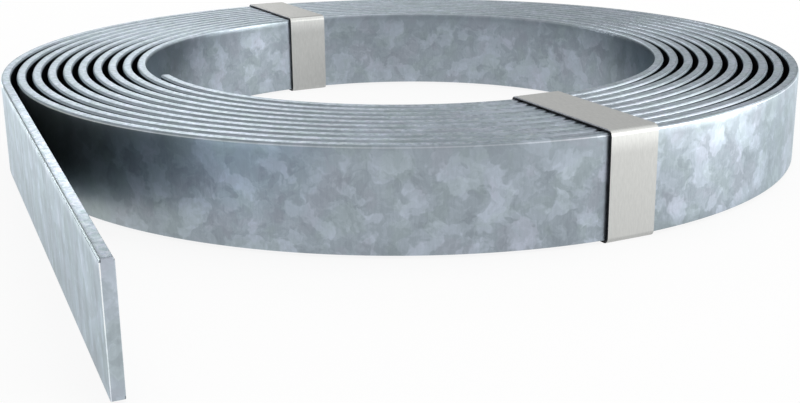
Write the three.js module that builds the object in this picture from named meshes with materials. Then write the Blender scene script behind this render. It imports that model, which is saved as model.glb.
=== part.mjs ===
import * as THREE from "three";

// Coil of flat steel strip wound on edge with open gaps between its turns, the outer end sprung
// off straight, held by two flat metal straps. Millimetres, +Z up, bore upright.

// strip section
const STRIP_WIDTH = 30;
const STRIP_THICKNESS = 3.1;
const STRIP_EDGE_BREAK = 0.5;

// winding: angles run counter-clockwise from +X, seen from above
const COIL_RADIUS = 140;
const TURN_GAP = 1.86;
const TURNS = 9.992;
const LEAVE_ANGLE = 203.6;
const TAIL_LENGTH = 177;
const SEGMENTS_PER_TURN = 66;

// straps
const STRAP_WIDTH = 15.4;
const STRAP_THICKNESS = 0.6;
const STRAP_BEND_RADIUS = 1.2;
const STRAP_CLEARANCE = 0.3;
const FRONT_STRAP_ANGLE = 296.55;
const REAR_STRAP_ANGLE = 117.4;

const PITCH = STRIP_THICKNESS + TURN_GAP;
const SEGMENTS = Math.round(TURNS * SEGMENTS_PER_TURN);
const FULL_TURN = 2 * Math.PI;

const zinc = new THREE.MeshStandardMaterial({ color: 0xa8b1b9, roughness: 0.45, metalness: 0.85 });
const satinSteel = new THREE.MeshStandardMaterial({ color: 0xc3bfb6, roughness: 0.5, metalness: 0.7 });

// Middle line of the strip: a spiral growing by one pitch each turn, then a straight tangent tail.
// The parameter is the share of the strip's own length, counted from its inner end.
class StripLine extends THREE.Curve {
  constructor(leaveRadius, growth, turns, leaveAngle, tail) {
    super();
    this.leaveRadius = leaveRadius;
    this.growth = growth;
    this.leaveAngle = leaveAngle;
    const sweep = turns * FULL_TURN;
    this.woundLength = sweep * (leaveRadius - (growth * sweep) / 2);
    this.totalLength = this.woundLength + tail;
  }

  // angle and radius where a length of wound strip lies between here and the start of the tail
  station(lengthBack) {
    const root = Math.sqrt(this.leaveRadius ** 2 - 2 * this.growth * lengthBack);
    return { angle: this.leaveAngle - (this.leaveRadius - root) / this.growth, radius: root };
  }

  getPoint(share, target = new THREE.Vector3()) {
    const lengthBack = this.woundLength - share * this.totalLength;
    const { angle, radius } = this.station(Math.max(lengthBack, 0));
    target.set(radius * Math.cos(angle), radius * Math.sin(angle), 0);
    if (lengthBack < 0) {
      target.addScaledVector(this.getTangent(share), -lengthBack);
    }
    return target;
  }

  getTangent(share, target = new THREE.Vector3()) {
    const lengthBack = this.woundLength - share * this.totalLength;
    const { angle, radius } = this.station(Math.max(lengthBack, 0));
    const outward = new THREE.Vector3(Math.cos(angle), Math.sin(angle), 0);
    const along = new THREE.Vector3(-Math.sin(angle), Math.cos(angle), 0);
    return target.copy(along).multiplyScalar(radius).addScaledVector(outward, this.growth).normalize();
  }

  getPointAt(share, target) {
    return this.getPoint(share, target);
  }

  getTangentAt(share, target) {
    return this.getTangent(share, target);
  }
}

const stripLine = new StripLine(
  COIL_RADIUS - STRIP_THICKNESS / 2, PITCH / FULL_TURN, TURNS,
  THREE.MathUtils.degToRad(LEAVE_ANGLE), TAIL_LENGTH,
);

// rectangle with broken corners, width along x and thickness along y
function stripSection(width, thickness, edgeBreak) {
  const x = width / 2;
  const y = thickness / 2;
  const section = new THREE.Shape();
  section.moveTo(-x + edgeBreak, -y);
  section.lineTo(x - edgeBreak, -y);
  section.lineTo(x, -y + edgeBreak);
  section.lineTo(x, y - edgeBreak);
  section.lineTo(x - edgeBreak, y);
  section.lineTo(-x + edgeBreak, y);
  section.lineTo(-x, y - edgeBreak);
  section.lineTo(-x, -y + edgeBreak);
  section.closePath();
  return section;
}

function roundedRectangle(path, left, bottom, right, top, radius) {
  path.moveTo(left + radius, bottom);
  path.lineTo(right - radius, bottom);
  path.absarc(right - radius, bottom + radius, radius, -Math.PI / 2, 0, false);
  path.lineTo(right, top - radius);
  path.absarc(right - radius, top - radius, radius, 0, Math.PI / 2, false);
  path.lineTo(left + radius, top);
  path.absarc(left + radius, top - radius, radius, Math.PI / 2, Math.PI, false);
  path.lineTo(left, bottom + radius);
  path.absarc(left + radius, bottom + radius, radius, Math.PI, 1.5 * Math.PI, false);
  return path;
}

// turns between the start of the tail and the outermost turn at an angle in degrees
function turnsBack(angle) {
  const turns = (LEAVE_ANGLE - angle) / 360;
  return turns - Math.floor(turns);
}

function outerFaceRadius(angle) {
  return COIL_RADIUS - PITCH * turnsBack(angle);
}

function boreFaceRadius(angle) {
  const laps = Math.floor(TURNS - turnsBack(angle));
  return outerFaceRadius(angle) - PITCH * laps - STRIP_THICKNESS;
}

// closed flat band round all the turns, its legs straight and its corners bent: the flat inner leg
// bears on the round bore at its two edges, and the outer leg on the outermost turn at its middle
function strap(angle) {
  const half = STRAP_WIDTH / 2;
  const spread = THREE.MathUtils.radToDeg(Math.asin(half / boreFaceRadius(angle)));
  const boreRadius = Math.min(boreFaceRadius(angle - spread), boreFaceRadius(angle + spread));
  const segmentSag = (stripLine.totalLength / SEGMENTS) ** 2 / (8 * boreRadius);
  const left = Math.sqrt(boreRadius ** 2 - half ** 2) - segmentSag - STRAP_CLEARANCE;
  const right = outerFaceRadius(angle) + STRAP_CLEARANCE;
  const bottom = -STRIP_WIDTH / 2 - STRAP_CLEARANCE;
  const top = STRIP_WIDTH / 2 + STRAP_CLEARANCE;
  const wall = STRAP_THICKNESS;
  const band = roundedRectangle(
    new THREE.Shape(), left - wall, bottom - wall, right + wall, top + wall, STRAP_BEND_RADIUS + wall,
  );
  band.holes.push(roundedRectangle(new THREE.Path(), left, bottom, right, top, STRAP_BEND_RADIUS));
  const geometry = new THREE.ExtrudeGeometry(band, {
    depth: STRAP_WIDTH, bevelEnabled: false, curveSegments: 4, steps: 1,
  });
  geometry.translate(0, 0, -half);
  geometry.rotateX(Math.PI / 2);
  geometry.rotateZ(THREE.MathUtils.degToRad(angle));
  return geometry;
}

function strip() {
  return new THREE.ExtrudeGeometry(stripSection(STRIP_WIDTH, STRIP_THICKNESS, STRIP_EDGE_BREAK), {
    steps: SEGMENTS,
    extrudePath: stripLine,
  });
}

function named(name, geometry, material) {
  const mesh = new THREE.Mesh(geometry, material);
  mesh.name = name;
  return mesh;
}

const coil = new THREE.Group();
coil.name = "steel_coil";
coil.add(
  named("steel_strip", strip(), zinc),
  named("front_strap", strap(FRONT_STRAP_ANGLE), satinSteel),
  named("rear_strap", strap(REAR_STRAP_ANGLE), satinSteel),
);

// origin under the middle of the whole object, on the surface it rests on
const extent = new THREE.Box3().setFromObject(coil);
const middle = extent.getCenter(new THREE.Vector3());
for (const piece of coil.children) {
  piece.geometry.translate(-middle.x, -middle.y, -extent.min.z);
}

export default coil;
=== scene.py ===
import math
import bmesh
import bpy
from mathutils import Matrix, Vector


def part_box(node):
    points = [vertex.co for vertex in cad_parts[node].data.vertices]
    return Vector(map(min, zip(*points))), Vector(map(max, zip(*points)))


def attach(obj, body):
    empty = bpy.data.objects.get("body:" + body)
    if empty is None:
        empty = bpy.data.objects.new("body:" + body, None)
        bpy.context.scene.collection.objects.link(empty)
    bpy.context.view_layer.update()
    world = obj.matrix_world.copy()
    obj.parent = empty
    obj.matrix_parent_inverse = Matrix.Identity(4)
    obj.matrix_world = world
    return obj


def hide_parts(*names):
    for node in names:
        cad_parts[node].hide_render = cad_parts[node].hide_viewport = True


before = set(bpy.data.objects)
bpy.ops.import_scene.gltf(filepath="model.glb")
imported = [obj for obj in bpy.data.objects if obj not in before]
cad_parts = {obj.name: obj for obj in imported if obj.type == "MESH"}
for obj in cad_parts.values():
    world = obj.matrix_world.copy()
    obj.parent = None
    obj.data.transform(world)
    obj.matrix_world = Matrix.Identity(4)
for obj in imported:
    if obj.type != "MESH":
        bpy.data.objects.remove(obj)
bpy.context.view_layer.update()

mm = 0.001
aligned = 0.999  # a direction this close to an axis runs along it
sameX = 0.001 * mm  # two places no further apart than this are one
creaseAngle = 35  # degrees, an edge bent further than this stays sharp
largeFaceWeight = 70  # how far large faces lead in the shading

# the strip: section, then how it is wound, angles counter-clockwise from +X seen from above
strip = {
    "node": "steel_strip",
    "width": 30 * mm,
    "thickness": 3.1 * mm,
    "topRound": (0.38 * mm, 0.85 * mm),  # how far the top corners are rounded, across and down
    "topSegments": 6,
    "topProfile": 0.32,  # nearly a flat chamfer
    "bottomBreak": 0.2 * mm,
    "endBreak": 0.25 * mm,
    "breakSegments": 2,
    "coilRadius": 140 * mm,
    "turnGap": 1.86 * mm,
    "turns": 9.992,
    "leaveAngle": math.radians(203.6),
    "tailLength": 177 * mm,
    "cutsPerPass": (46, 38),  # length is subdivided twice over
}

pitch = strip["thickness"] + strip["turnGap"]
growth = pitch / (2 * math.pi)
woundSweep = strip["turns"] * 2 * math.pi
leaveRadius = strip["coilRadius"] - strip["thickness"] / 2
woundLength = woundSweep * (leaveRadius - growth * woundSweep / 2)
totalLength = woundLength + strip["tailLength"]


def onMiddleLine(distance):
    # place and outward side of the strip's middle line, at a distance from the inner end
    back = max(woundLength - distance, 0.0)
    radius = math.sqrt(leaveRadius ** 2 - 2 * growth * back)
    angle = strip["leaveAngle"] - (leaveRadius - radius) / growth
    outward = Vector((math.cos(angle), math.sin(angle), 0))
    along = Vector((-math.sin(angle), math.cos(angle), 0))
    heading = (along * radius + outward * growth).normalized()
    place = outward * radius + heading * max(distance - woundLength, 0.0)
    return place, Vector((heading.y, -heading.x, 0))


def clearSelection():
    if bpy.context.object and bpy.context.object.mode != "OBJECT":
        bpy.ops.object.mode_set(mode="OBJECT")
    bpy.ops.object.select_all(action="DESELECT")


def addBlock(name, start, size):
    # a block that runs along X from its start, left in edit mode
    clearSelection()
    bpy.ops.mesh.primitive_cube_add(size=1, location=(0, 0, 0))
    piece = bpy.context.object
    piece.name = name
    bpy.ops.object.mode_set(mode="EDIT")
    bpy.ops.transform.resize(value=size)
    bpy.ops.transform.translate(value=(start + size[0] / 2, 0, 0))
    return piece


def selectEdges(mesh, wanted):
    # selects the edges that pass a test, in edit mode
    shape = bmesh.from_edit_mesh(mesh)
    bpy.ops.mesh.select_all(action="DESELECT")
    bpy.ops.mesh.select_mode(type="EDGE")
    for edge in shape.edges:
        edge.select_set(wanted(edge))
    bmesh.update_edit_mesh(mesh)


def runsAlong(edge, axis):
    run = (edge.verts[1].co - edge.verts[0].co).normalized()
    return abs(run[axis]) > aligned


def atAnEnd(edge):
    places = [vertex.co.x for vertex in edge.verts]
    return any(max(abs(x - end) for x in places) < sameX for end in (0, totalLength))


def straightStrip():
    across, down = strip["topRound"]
    squash = across / down  # beveled while squashed, so that the rounding is drawn out downwards
    piece = addBlock("zincStrip", 0, (totalLength, strip["thickness"], strip["width"] * squash))
    selectEdges(piece.data, lambda edge: runsAlong(edge, 0) and edge.verts[0].co.z > 0)
    bpy.ops.mesh.bevel(offset=across, segments=strip["topSegments"], profile=strip["topProfile"],
                       affect="EDGES")
    bpy.ops.mesh.select_all(action="SELECT")
    bpy.ops.transform.resize(value=(1, 1, 1 / squash), center_override=(0, 0, 0))
    selectEdges(piece.data, lambda edge: runsAlong(edge, 0) and edge.verts[0].co.z < 0)
    bpy.ops.mesh.bevel(offset=strip["bottomBreak"], segments=strip["breakSegments"], affect="EDGES")
    for cuts in strip["cutsPerPass"]:
        selectEdges(piece.data, lambda edge: runsAlong(edge, 0))
        bpy.ops.mesh.subdivide(number_cuts=cuts)
    selectEdges(piece.data, atAnEnd)
    bpy.ops.mesh.bevel(offset=strip["endBreak"], segments=strip["breakSegments"], affect="EDGES")
    bpy.ops.object.mode_set(mode="OBJECT")
    return piece


def keepFlatPlaces(mesh, name):
    # where each vertex was before the piece was bent or turned, for the patterns on it
    flat = mesh.attributes.new(name, "FLOAT_VECTOR", "POINT")
    for vertex in mesh.vertices:
        flat.data[vertex.index].vector = vertex.co


def windStrip(piece):
    mesh = piece.data
    keepFlatPlaces(mesh, "flatStrip")
    for vertex in mesh.vertices:
        distance, across, height = vertex.co
        place, outward = onMiddleLine(distance)
        vertex.co = place + outward * across + Vector((0, 0, height))
    low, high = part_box(strip["node"])
    middle = (low + high) / 2
    xs = [vertex.co.x for vertex in mesh.vertices]
    ys = [vertex.co.y for vertex in mesh.vertices]
    centre = Vector((middle.x - (min(xs) + max(xs)) / 2, middle.y - (min(ys) + max(ys)) / 2, middle.z))
    mesh.transform(Matrix.Translation(centre))
    return centre


def makeActive(piece):
    clearSelection()
    piece.select_set(True)
    bpy.context.view_layer.objects.active = piece


def normalsOut(piece):
    makeActive(piece)
    bpy.ops.object.mode_set(mode="EDIT")
    bpy.ops.mesh.select_all(action="SELECT")
    bpy.ops.mesh.normals_make_consistent(inside=False)
    bpy.ops.object.mode_set(mode="OBJECT")


def smooth(piece):
    # flat faces shade flat, and only the roundings between them turn
    makeActive(piece)
    bpy.ops.object.shade_smooth_by_angle(angle=math.radians(creaseAngle))
    even = piece.modifiers.new("evenShade", "WEIGHTED_NORMAL")
    even.weight = largeFaceWeight
    even.keep_sharp = True
    bpy.ops.object.modifier_apply(modifier="evenShade")


zincStrip = straightStrip()
coilCentre = windStrip(zincStrip)
normalsOut(zincStrip)
smooth(zincStrip)
print("strip wound:", len(zincStrip.data.vertices), "vertices, coil centre", coilCentre[:])

straps = {
    "nodes": {"front_strap": 296.55, "rear_strap": 117.4},  # degrees round the coil
    "width": 15.4 * mm,
    "thickness": 0.6 * mm,
    "bendRadius": 1.2 * mm,
    "bendSegments": 8,
    "clearance": 0.3 * mm,
    "sag": 0.17 * mm,  # more room in the bore, where the CAD strip's facets reach inwards
}


def turnsBack(angle):
    # turns between an angle and the place where the tail leaves
    turns = (math.degrees(strip["leaveAngle"]) - angle) / 360
    return turns - math.floor(turns)


def outerRadius(angle):
    return strip["coilRadius"] - pitch * turnsBack(angle)


def boreRadius(angle):
    laps = math.floor(strip["turns"] - turnsBack(angle))
    return outerRadius(angle) - pitch * laps - strip["thickness"]


def facesSideways(face):
    return abs(face.normal.y) > aligned


def openSides(mesh):
    shape = bmesh.from_edit_mesh(mesh)
    bpy.ops.mesh.select_mode(type="FACE")
    bpy.ops.mesh.select_all(action="DESELECT")
    for face in shape.faces:
        face.select_set(facesSideways(face))
    bmesh.update_edit_mesh(mesh)
    bpy.ops.mesh.delete(type="ONLY_FACE")


def foldStrap(name, angle):
    # a closed band round the strip's turns, as if they lay along +X
    half = straps["width"] / 2
    spread = math.degrees(math.asin(half / boreRadius(angle)))
    bore = min(boreRadius(angle - spread), boreRadius(angle + spread))
    inner = math.sqrt(bore ** 2 - half ** 2) - straps["sag"] - straps["clearance"]
    outer = outerRadius(angle) + straps["clearance"]
    tall = strip["width"] + 2 * straps["clearance"]
    piece = addBlock(name, inner, (outer - inner, straps["width"], tall))
    openSides(piece.data)
    selectEdges(piece.data, lambda edge: runsAlong(edge, 1))
    bpy.ops.mesh.bevel(offset=straps["bendRadius"], segments=straps["bendSegments"], affect="EDGES")
    bpy.ops.mesh.select_all(action="SELECT")
    bpy.ops.mesh.normals_make_consistent(inside=False)
    bpy.ops.object.mode_set(mode="OBJECT")
    wall = piece.modifiers.new("wall", "SOLIDIFY")
    wall.thickness = straps["thickness"]
    wall.offset = 1
    wall.use_even_offset = True
    bpy.ops.object.modifier_apply(modifier="wall")
    return piece


strapPieces = {}
cutFaces = {}
for node, angle in straps["nodes"].items():
    piece = foldStrap(node.replace("_strap", "Band"), angle)
    cutFaces[node] = [face.index for face in piece.data.polygons if facesSideways(face)]
    keepFlatPlaces(piece.data, "flatBand")
    turn = Matrix.Rotation(math.radians(angle), 4, "Z")
    piece.data.transform(Matrix.Translation(coilCentre) @ turn)
    smooth(piece)
    strapPieces[node] = piece
print("straps folded:", len(strapPieces))


# materials
def newMaterial(name):
    material = bpy.data.materials.new(name)
    material.use_nodes = True
    tree = material.node_tree
    return material, tree, tree.nodes["Principled BSDF"]


def plug(value, socket):
    # links another node's output to a socket, and sets anything else on it
    if isinstance(value, bpy.types.NodeSocket):
        socket.id_data.links.new(value, socket)
    else:
        socket.default_value = value


# this and the functions below add to the tree that is being built at the time
def addNode(kind, inputs=None, **settings):
    node = tree.nodes.new(kind)
    for name, value in settings.items():
        setattr(node, name, value)
    for name, value in (inputs or {}).items():
        plug(value, node.inputs[name])
    return node


def addRamp(source, stops, colours):
    node = addNode("ShaderNodeValToRGB", {"Fac": source})
    elements = node.color_ramp.elements
    while len(elements) < len(stops):
        elements.new(0.5)
    for element, stop, colour in zip(elements, stops, colours):
        element.position = stop
        element.color = (*colour, 1)
    return node.outputs["Color"]


def addNoise(place, scale, detail, roughness=0.5):
    # the scale is per metre
    inputs = {"Vector": place, "Scale": scale, "Detail": detail, "Roughness": roughness}
    return addNode("ShaderNodeTexNoise", inputs).outputs


def vector(first, operation, second):
    node = addNode("ShaderNodeVectorMath", {0: first}, operation=operation)
    plug(second, node.inputs["Scale" if operation == "SCALE" else 1])
    return node.outputs[0]


def calculate(first, operation, second=0):
    return addNode("ShaderNodeMath", {0: first, 1: second}, operation=operation).outputs[0]


def over(source, limit):
    return calculate(source, "GREATER_THAN", limit)


def under(source, limit):
    return calculate(source, "LESS_THAN", limit)


def times(first, *others):
    for other in others:
        first = calculate(first, "MULTIPLY", other)
    return first


def within(source, reach):
    return times(over(source, reach[0]), under(source, reach[1]))


def weigh(parts, total):
    # weighted sum on top of a first value
    for source, weight in parts:
        inputs = {0: source, 1: weight, 2: total}
        total = addNode("ShaderNodeMath", inputs, operation="MULTIPLY_ADD").outputs[0]
    return total


def glide(source, reach, values, kind="LINEAR"):
    # one value up to the start of the reach, another past its end
    inputs = {"Value": source, "From Min": reach[0], "From Max": reach[1],
              "To Min": values[0], "To Max": values[1]}
    return addNode("ShaderNodeMapRange", inputs, interpolation_type=kind).outputs["Result"]


def ease(source, reach, values):
    # the same, starting and ending softly
    return glide(source, reach, values, "SMOOTHSTEP")


def shadeWhere(mask, shade):
    # the shade on the mask, and one off it
    return glide(mask, (0, 1), (1, shade))


def tintWhere(colour, mask, tint):
    tint = (*tint, 1) if isinstance(tint, tuple) else tint
    return addNode("ShaderNodeMix", {0: mask, 6: colour, 7: tint}, data_type="RGBA",
                   blend_type="MULTIPLY").outputs[2]


def separate(place):
    return addNode("ShaderNodeSeparateXYZ", {0: place}).outputs


def flatPlace(name):
    return addNode("ShaderNodeAttribute", attribute_name=name).outputs["Vector"]


def objectPlace():
    return separate(addNode("ShaderNodeTexCoord").outputs["Object"])


def addBump(height, distance):
    bump = addNode("ShaderNodeBump", {"Height": height, "Distance": distance})
    plug(bump.outputs["Normal"], shader.inputs["Normal"])


# fine grain drawn out along one direction, for the zinc and for the straps
brushedGrain = bpy.data.node_groups.new("brushedGrain", "ShaderNodeTree")
for name in ("Place", "Lines"):
    brushedGrain.interface.new_socket(name=name, in_out="INPUT", socket_type="NodeSocketVector")
brushedGrain.interface.new_socket(name="Grain", in_out="OUTPUT", socket_type="NodeSocketFloat")
tree = brushedGrain
groupIn = addNode("NodeGroupInput").outputs
drawnOut = vector(groupIn["Place"], "MULTIPLY", groupIn["Lines"])  # lines per metre on each axis
addNode("NodeGroupOutput", {"Grain": addNoise(drawnOut, 1, detail=2, roughness=0.6)["Fac"]})


def addGrain(place, lines):
    inputs = {"Place": place, "Lines": lines}
    return addNode("ShaderNodeGroup", inputs, node_tree=brushedGrain).outputs["Grain"]


# Shades multiply the colour, and most of them are painted light and shade. Depths are below the top edge,
# or below the nearer edge for the crevices, the tail's lip and the roll. X is across the coil as it lies,
# and the tail starts where it leaves.
zincLook = {
    "colours": ((0.231, 0.266, 0.300), (0.311, 0.359, 0.402), (0.444, 0.500, 0.578)),  # dark to light
    "colourStops": (0, 0.42, 1),
    "tints": ((1.018, 0.988, 1.0), (1, 1, 1), (1, 1, 1), (0.988, 1.003, 0.972)),  # faint colour casts
    "tintStops": (0.40, 0.46, 0.54, 0.60),
    "tintScale": 95,  # all noise scales are per metre
    "warps": ((130, 2.4 * mm), (560, 1.0 * mm)),  # scale and reach
    "patches": (
        {"scale": 100, "start": (0, 0, 0), "cut": 0.525, "weight": 0.30},  # light
        {"scale": 150, "start": (1.2, 0.4, 0.1), "cut": 0.57, "weight": 0.15},  # lighter
        {"scale": 120, "start": (2.3, 0.7, 1.9), "cut": 0.56, "weight": -0.13},  # dark
        {"scale": 300, "start": (5.1, 3.3, 0.4), "cut": 0.55, "weight": 0.11},  # flecks
        {"scale": 640, "start": (1.4, 6.3, 2.2), "cut": 0.54, "weight": 0.07},  # fine flecks
    ),
    "crisp": 0.016,
    "cloudScale": 75,
    "clouds": 0.50,
    "grainLines": (1900, 1100, 300),
    "grain": 0.30,
    "grainDepth": 0.010 * mm,
    "bareTone": 0.36,  # tone between the patches
    "bareStop": 0.35,  # and its place among the colours
    "roughness": (0.31, 0.37),
    "onFace": 0.155 * mm,  # this near to a face or to an edge is on it
    "onEdge": 0.05 * mm,
    # painted shade in the gaps between the turns, on the faces that look on to the next turn
    "creviceDepth": (0.42 * mm, 0.82 * mm),
    "paintedCreviceShade": 0.12,
    "edgeTint": (0.90, 0.975, 1.0),
    "front": ((-45 * mm, 5 * mm), (25 * mm, 60 * mm)),  # X where the middle of the front begins and ends
    "lipReach": (0.5 * mm, 1.0 * mm),  # in from the outer face
    "paintedLipShade": 0.66,  # painted shade: a thin darker line beside the outer rounding
    "frontLip": 0.35,  # share of it that is left at the front
    "tailLip": 0.25 * mm,  # another painted shade line at the tail's inner corner, in from the inner face
    "tailLipDepth": 0.8 * mm,
    "paintedTailLipShade": 0.45,
    "facetDepth": (0.02 * mm, 0.84 * mm),  # the outer rounding, down and in from the outer face
    "facetAcross": (0.01 * mm, 0.37 * mm),
    "facetMiddle": (0.36 * mm, 0.62 * mm),  # depth where its upper half passes into its lower half
    "paintedFacetLight": (0.95, 1.78),  # painted shade on its upper half and a painted highlight on its lower half
    "paintedFrontFacetLight": (1.16, 0.89),  # the painted light on it more even at the very front
    "tailFacetReach": (60 * mm, strip["tailLength"] - 30 * mm),
    "paintedTailFacetShade": (0.20, 0.10),  # painted shade on it along the tail, darker towards the end
    "tailStart": (-20 * mm, 30 * mm),  # where the shades of its outer face come in
    "tailFaceDepth": (3 * mm, strip["width"]),
    "paintedTailFaceLight": (1.20, 0.84),  # painted light: the tail's outer face lightens from its foot to its top edge
    # painted highlight on the tail's outer face just below its top edge
    "tailEdgeDepth": (0.9 * mm, 3 * mm),
    "paintedTailEdgeHighlight": 1.42,
    "tailTopRise": (0, 45 * mm),
    "tailTopFall": (120 * mm, strip["tailLength"] - 3 * mm),
    "paintedTailTopLight": (1.44, 0.44),  # painted light: its top is lightest a little way out of the coil, with painted shade towards the end
    "rightWallReach": (20 * mm, 65 * mm),  # X where the painted light on the right-hand outside comes in
    "rightWallDepth": (0.8 * mm, 16 * mm),
    "paintedRightWallLight": 1.25,
    "bore": (  # X and shade of each step: painted shade at the left end, then painted light, plain, and painted shade again
        ((-88.5 * mm, -78 * mm), (0.60, 1.10)),
        ((-52 * mm, -30 * mm), (1, 1 / 1.10)),
        ((76 * mm, 91 * mm), (1, 0.52)),
    ),
    "endReach": (0.05 * mm, 0.2 * mm),  # back from the tail's end
    "endShade": 1.30,  # the cut end is a shade lighter
    "cornerReach": 0.24 * mm,  # a painted highlight on its outer corner, back from the end and in from the outer face
    "cornerDepth": 0.9 * mm,
    "paintedCornerHighlight": 2.0,
    "streakLines": (330, 330, 70),
    "streaks": 0.5,
    "calmReach": (25 * mm, 110 * mm),  # along the wall behind the tail, which is calmer, with a more neutral tint painted for the shade there
    "calm": 0.35,
    "shadeTintBehindTail": (1.03, 1.0, 0.90),
    "calmTopDepth": (2 * mm, 8 * mm),
    "calmTop": 0.55,  # patches are fainter below the top edge
    "contrast": (1.08, 0.94),  # of the patches, off the inner faces and on them
    "narrowTint": (1.01, 0.985, 1.0),  # the narrow faces are a little less green and finely mottled
    "mottleScale": 650,
    "mottle": 0.95,
    "speckTint": 0.35,
    "highlightTint": (1.05, 0.99, 0.95),  # painted highlights are whiter: places lightened by these shades
    "highlightShades": (1.1, 1.9),
    "roll": 0.15 * mm,  # the broad faces fall away slightly towards their edges
    "rollReach": 2.8 * mm,
}

zinc, tree, shader = newMaterial("zincCoat")
flat = flatPlace("flatStrip")


def warp(place, scale, reach):
    centred = vector(addNoise(place, scale, detail=1)["Color"], "SUBTRACT", (0.5, 0.5, 0.5))
    return vector(place, "ADD", vector(centred, "SCALE", 2 * reach))


def addPatches(place, patch):
    # ragged patches where a noise rises over the cut
    noise = addNoise(vector(place, "ADD", patch["start"]), patch["scale"], detail=3)["Fac"]
    return glide(noise, (patch["cut"] - zincLook["crisp"], patch["cut"] + zincLook["crisp"]), (0, 1))


bent = flat
for scale, reach in zincLook["warps"]:
    bent = warp(bent, scale, reach)
parts = [(addPatches(bent, patch), patch["weight"]) for patch in zincLook["patches"]]
clouds = addNoise(bent, zincLook["cloudScale"], detail=5, roughness=0.65)["Fac"]
grain = addGrain(flat, zincLook["grainLines"])
parts += [(clouds, zincLook["clouds"]), (grain, zincLook["grain"])]
spangle = weigh(parts, zincLook["bareTone"] - (zincLook["clouds"] + zincLook["grain"]) / 2)

# where on the strip: how far from each of its faces, edges and ends
along, across, up = separate(flat)
lastLap = woundLength - 2 * math.pi * (leaveRadius - pitch / 2)
firstLap = 2 * math.pi * (leaveRadius - growth * woundSweep + pitch / 2)
depth = calculate(strip["width"] / 2, "SUBTRACT", up)
edgeDepth = calculate(strip["width"] / 2, "SUBTRACT", calculate(up, "ABSOLUTE"))
fromOuter = calculate(strip["thickness"] / 2, "SUBTRACT", across)
fromInner = calculate(strip["thickness"] / 2, "ADD", across)
intoTail = calculate(along, "SUBTRACT", woundLength)
fromEnd = calculate(totalLength, "SUBTRACT", along)
outerSide = under(fromOuter, zincLook["onFace"])
innerSide = under(fromInner, zincLook["onFace"])
narrow = under(edgeDepth, zincLook["onEdge"])
onTail = over(intoTail, 0)

# the middle of the front, as the coil lies
whole = objectPlace()
frontStart, frontEnd = zincLook["front"]
atFront = times(ease(whole["X"], frontStart, (0, 1)), ease(whole["X"], frontEnd, (1, 0)),
                under(whole["Y"], 0))

# the faces that look on to the next turn get painted shade away from the strip's edges, darkening the
# gaps between the turns
outerHidden = times(outerSide, under(along, lastLap))
innerHidden = times(innerSide, over(along, firstLap), under(intoTail, 0))
hidden = calculate(outerHidden, "ADD", innerHidden)
deep = ease(edgeDepth, zincLook["creviceDepth"], (0, 1))
shades = [shadeWhere(times(hidden, deep), zincLook["paintedCreviceShade"])]

# painted shade: darker lines beside the outer rounding, fainter at the front, and at the tail's inner
# corner
lip = times(ease(fromOuter, zincLook["lipReach"], (1, 0)), shadeWhere(atFront, zincLook["frontLip"]))
shades.append(shadeWhere(times(narrow, lip), zincLook["paintedLipShade"]))
tailLip = times(onTail, under(fromInner, zincLook["tailLip"]), under(edgeDepth, zincLook["tailLipDepth"]))
shades.append(shadeWhere(tailLip, zincLook["paintedTailLipShade"]))

# painted highlight on the lower half of the outer rounding at the top, and painted shade on it along the
# tail
facet = times(within(depth, zincLook["facetDepth"]), within(fromOuter, zincLook["facetAcross"]))
paintedFacetLight = ease(depth, zincLook["facetMiddle"], zincLook["paintedFacetLight"])
shades.append(shadeWhere(facet, paintedFacetLight))
frontShade = ease(depth, zincLook["facetMiddle"], zincLook["paintedFrontFacetLight"])
shades.append(shadeWhere(times(atFront, facet), frontShade))
paintedTailFacetShade = glide(intoTail, zincLook["tailFacetReach"], zincLook["paintedTailFacetShade"])
shades.append(shadeWhere(times(facet, onTail), paintedTailFacetShade))

# painted light and shade on the outer face and top of the tail
tailOuter = times(ease(intoTail, zincLook["tailStart"], (0, 1)), outerSide)
paintedFaceLight = glide(depth, zincLook["tailFaceDepth"], zincLook["paintedTailFaceLight"])
shades.append(shadeWhere(tailOuter, paintedFaceLight))
nearTop = times(ease(depth, zincLook["tailEdgeDepth"], (1, 0)), tailOuter)
shades.append(shadeWhere(nearTop, zincLook["paintedTailEdgeHighlight"]))
rise, fall = zincLook["paintedTailTopLight"]
paintedTopLight = times(ease(intoTail, zincLook["tailTopRise"], (1, rise)),
                 ease(intoTail, zincLook["tailTopFall"], (1, fall)))
shades.append(shadeWhere(narrow, paintedTopLight))

# painted light on the right-hand side below the top edge of the outside, and painted shade in the bore at
# both its ends
rightWall = times(ease(whole["X"], zincLook["rightWallReach"], (0, 1)), outerSide,
                  ease(depth, zincLook["rightWallDepth"], (1, 0)))
shades.append(shadeWhere(rightWall, zincLook["paintedRightWallLight"]))
paintedBoreShade = times(*[ease(whole["X"], reach, steps) for reach, steps in zincLook["bore"]])
shades.append(shadeWhere(times(innerSide, under(along, firstLap)), paintedBoreShade))

# lighter cut end with a painted highlight on its outer corner, and streaks up the outer face of the tail
shades.append(glide(fromEnd, zincLook["endReach"], (zincLook["endShade"], 1)))
corner = times(under(fromEnd, zincLook["cornerReach"]), under(fromOuter, zincLook["cornerReach"]),
               over(depth, zincLook["cornerDepth"]))
shades.append(shadeWhere(corner, zincLook["paintedCornerHighlight"]))
streaks = addGrain(flat, zincLook["streakLines"])
streakShade = glide(streaks, (0, 1), (1 - zincLook["streaks"], 1 + zincLook["streaks"]))
shades.append(shadeWhere(times(onTail, outerSide), streakShade))

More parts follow.
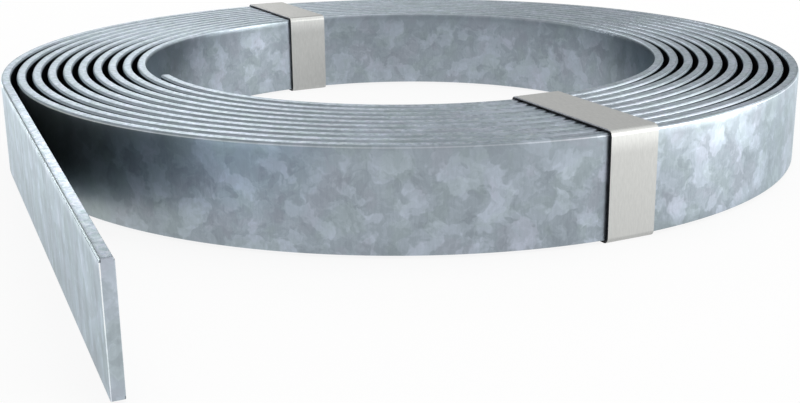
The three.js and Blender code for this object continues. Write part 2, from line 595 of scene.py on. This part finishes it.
# the patches' colour, calmer on the wall behind the tail, where a more neutral tint is painted for the
# shade there
spanFromTail = calculate(along, "SUBTRACT", lastLap)
calm = times(ease(spanFromTail, zincLook["calmReach"], (1, 0)), outerSide, over(spanFromTail, 0))
strength = times(shadeWhere(calm, zincLook["calm"]),
                 ease(depth, zincLook["calmTopDepth"], (zincLook["calmTop"], 1)),
                 glide(innerSide, (0, 1), zincLook["contrast"]))
offBare = times(calculate(spangle, "SUBTRACT", zincLook["bareTone"]), strength)
tone = calculate(offBare, "ADD", zincLook["bareStop"])
cast = addNoise(bent, zincLook["tintScale"], detail=2)["Fac"]
colour = vector(addRamp(tone, zincLook["colourStops"], zincLook["colours"]), "MULTIPLY",
                addRamp(cast, zincLook["tintStops"], zincLook["tints"]))
# a more neutral tint painted for the shade on the wall behind the tail
colour = tintWhere(colour, calm, zincLook["shadeTintBehindTail"])

# narrow faces
mottle = addNoise(flat, zincLook["mottleScale"], detail=3, roughness=0.7)
colour = tintWhere(colour, narrow, zincLook["narrowTint"])
speckStart = 1 - zincLook["speckTint"] / 2
specks = vector(mottle["Color"], "SCALE", zincLook["speckTint"])
colour = tintWhere(colour, narrow, vector(specks, "ADD", [speckStart] * 3))
mottleShade = glide(mottle["Fac"], (0, 1), (1 - zincLook["mottle"], 1 + zincLook["mottle"]))
shades.append(shadeWhere(narrow, mottleShade))

allShades = times(*shades)
# the painted highlights get a whiter tint
colour = tintWhere(colour, glide(allShades, zincLook["highlightShades"], (0, 1)), zincLook["highlightTint"])
plug(vector(colour, "SCALE", allShades), shader.inputs["Base Color"])
plug(glide(spangle, (0, 1), zincLook["roughness"]), shader.inputs["Roughness"])
rolledOff = glide(edgeDepth, (0, zincLook["rollReach"]), (1, 0))
rolledOff = times(rolledOff, rolledOff)
relief = weigh([(grain, zincLook["grainDepth"] / mm), (rolledOff, -zincLook["roll"] / mm)], 0)
addBump(relief, mm)
shader.inputs["Metallic"].default_value = 1.0
shader.inputs["Specular Tint"].default_value = (*zincLook["edgeTint"], 1)
zincStrip.data.materials.append(zinc)

# heights are from the inside of a strap's top run
bandLook = {
    "colours": ((0.437, 0.444, 0.436), (0.506, 0.513, 0.502)),  # along and between the brushing lines
    "brushing": (0.25, 0.75),  # of the grain, for the colours and the roughness
    "grainLines": (520, 2600, 520),
    "grainDepth": 0.003 * mm,
    "roughness": (0.46, 0.40),
    "paintedBendHighlight": 1.42,  # painted highlight: the faces lighten towards the top bend
    "edgeReach": (-7 * mm, -0.2 * mm),
    "topRun": (0.15 * mm, 0.5 * mm),
    "paintedRearTopShade": 0.72,  # painted shade on the rear strap's top
    "rearReach": (0, 60 * mm),  # Y
    # the cut edges are near black: painted shade
    "cutShadeColours": ((0.010, 0.011, 0.013), (0.022, 0.023, 0.025)),
    "cutGrain": (0.3, 0.7),
    "cutLines": (1500, 1500, 1500),
    "cutRoughness": (0.52, 0.68),
    "cutGloss": 0.2,
    "cutTopLift": 26.0,  # the upper part of the top run's cut edge has less of the painted shade
    "cutTopReach": (0.12 * mm, 0.36 * mm),
}


def heightOnBand(place):
    return calculate(separate(place)["Z"], "SUBTRACT", strip["width"] / 2 + straps["clearance"])


band, tree, shader = newMaterial("strapBand")
flat = flatPlace("flatBand")
height = heightOnBand(flat)
grain = addGrain(flat, bandLook["grainLines"])
brushed = addRamp(grain, bandLook["brushing"], bandLook["colours"])
onLegs = ease(height, bandLook["topRun"], (1, 0))
# painted highlight on the faces towards the top bend
bendHighlighted = times(ease(height, bandLook["edgeReach"], (0, 1)), onLegs)
# painted shade on the rear strap's top
shadedRearTop = times(glide(onLegs, (0, 1), (1, 0)), glide(objectPlace()["Y"], bandLook["rearReach"], (0, 1)))
bandShade = times(shadeWhere(bendHighlighted, bandLook["paintedBendHighlight"]), shadeWhere(shadedRearTop, bandLook["paintedRearTopShade"]))
plug(vector(brushed, "SCALE", bandShade), shader.inputs["Base Color"])
plug(glide(grain, bandLook["brushing"], bandLook["roughness"]), shader.inputs["Roughness"])
addBump(grain, bandLook["grainDepth"])
shader.inputs["Metallic"].default_value = 1.0

# the strap's cut edges, near black with painted shade, lighter on the upper part of the top run's edge
cutEdge, tree, shader = newMaterial("strapCutEdge")
flat = flatPlace("flatBand")
grain = addGrain(flat, bandLook["cutLines"])
shadedCutColour = addRamp(grain, bandLook["cutGrain"], bandLook["cutShadeColours"])
upperCutLift = ease(heightOnBand(flat), bandLook["cutTopReach"], (1, bandLook["cutTopLift"]))
plug(vector(shadedCutColour, "SCALE", upperCutLift), shader.inputs["Base Color"])
plug(glide(grain, (0, 1), bandLook["cutRoughness"]), shader.inputs["Roughness"])
addBump(grain, bandLook["grainDepth"])
shader.inputs["Specular IOR Level"].default_value = bandLook["cutGloss"]
for node, piece in strapPieces.items():
    piece.data.materials.append(band)
    piece.data.materials.append(cutEdge)
    for index in cutFaces[node]:
        piece.data.polygons[index].material_index = 1
print("materials made")

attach(zincStrip, "root")
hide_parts(strip["node"])
for node, piece in strapPieces.items():
    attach(piece, "root")
    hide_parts(node)

studio = {
    "floorSize": 12.0,
    "floorColour": (0.85, 0.85, 0.85, 1),
    "floorRoughness": 0.9,
    "floorGloss": 0.1,
    "floorGlow": 0.88,
    "worldColour": (1, 1, 1, 1),
    "world": 0.696,
    "aim": (0, 0, 15 * mm),
    "lampColour": (1.0, 0.985, 0.96),  # a touch warmer than the surroundings
    "lamps": {
        "rightFloor": {"place": (1.6, 0.0, 0.035), "size": (0.5, 0.05), "power": 8.3},
        "leftBackFloor": {"place": (-1.386, 0.8, 0.035), "size": (0.5, 0.05), "power": 5.3},
        "rightLow": {"place": (1.545, -0.414, 0.32), "size": (0.6, 0.3), "power": 9.2},
        "right": {"place": (1.449, 0.388, 0.62), "size": (0.7, 0.6), "power": 2.8},
        "backRight": {"place": (1.061, 1.061, 0.62), "size": (0.7, 0.6), "power": 1.5},
        "rightHigh": {"place": (0.953, -0.55, 1.2), "size": (0.8, 0.8), "power": 0.8},
        "back": {"place": (-0.468, 1.53, 0.62), "size": (0.51, 0.3), "power": 1.35},
        "backTall": {"place": (-0.223, 1.584, 0.81), "size": (0.34, 0.6), "power": 0.66},
        "backLeft": {"place": (-1.05, 1.208, 1.0), "size": (0.28, 0.3), "power": 1.8},
        "over": {"place": (0.0, 0.1, 1.6), "size": (1.2, 1.2), "power": 6.3},
    },
}

# the floor glows white for the camera and in reflections, and still takes a faint shadow
clearSelection()
bpy.ops.mesh.primitive_plane_add(size=studio["floorSize"], location=(0, 0, 0))
floor = bpy.context.object
floor.name = "floor"
floorPaint, tree, shader = newMaterial("floorPaint")
shader.inputs["Base Color"].default_value = studio["floorColour"]
shader.inputs["Roughness"].default_value = studio["floorRoughness"]
shader.inputs["Specular IOR Level"].default_value = studio["floorGloss"]
ray = addNode("ShaderNodeLightPath").outputs
seen = calculate(ray["Is Camera Ray"], "MAXIMUM", ray["Is Glossy Ray"])
seen = calculate(seen, "MAXIMUM", ray["Is Transmission Ray"])
glow = addNode("ShaderNodeEmission").outputs[0]
share = times(seen, studio["floorGlow"])
painted = addNode("ShaderNodeMixShader", {0: share, 1: shader.outputs[0], 2: glow}).outputs[0]
plug(painted, tree.nodes["Material Output"].inputs["Surface"])
floor.data.materials.append(floorPaint)

world = bpy.data.worlds.new("studio")
bpy.context.scene.world = world
world.use_nodes = True
world.node_tree.nodes["Background"].inputs["Color"].default_value = studio["worldColour"]
world.node_tree.nodes["Background"].inputs["Strength"].default_value = studio["world"]

for name, lamp in studio["lamps"].items():
    light = bpy.data.lights.new(name, "AREA")
    light.shape = "RECTANGLE"
    light.size, light.size_y = lamp["size"]
    light.energy = lamp["power"]
    light.color = studio["lampColour"]
    holder = bpy.data.objects.new(name, light)
    bpy.context.collection.objects.link(holder)
    holder.location = lamp["place"]
    aim = Vector(studio["aim"]) - Vector(lamp["place"])
    holder.rotation_mode = "QUATERNION"
    holder.rotation_quaternion = aim.to_track_quat("-Z", "Y")
print("studio lit:", len(studio["lamps"]), "lamps")

view = {
    "lens": 54.14,
    "fromCoil": (0, -433.4 * mm, 92.7 * mm),  # from the coil's middle at half height
    "tiltDown": 16.27,
    "roll": -0.56,
    "shift": (-0.0070, -0.0273),
    "clipStart": 10 * mm,
}
lensData = bpy.data.cameras.new("camera")
lensData.lens = view["lens"]
lensData.shift_x, lensData.shift_y = view["shift"]
lensData.clip_start = view["clipStart"]
camera = bpy.data.objects.new("camera", lensData)
bpy.context.collection.objects.link(camera)
tilt = Matrix.Rotation(math.radians(90 - view["tiltDown"]), 4, "X")
roll = Matrix.Rotation(math.radians(view["roll"]), 4, "Z")
camera.matrix_world = Matrix.Translation(coilCentre + Vector(view["fromCoil"])) @ tilt @ roll
bpy.context.scene.camera = camera
bpy.context.scene.view_settings.view_transform = "Standard"
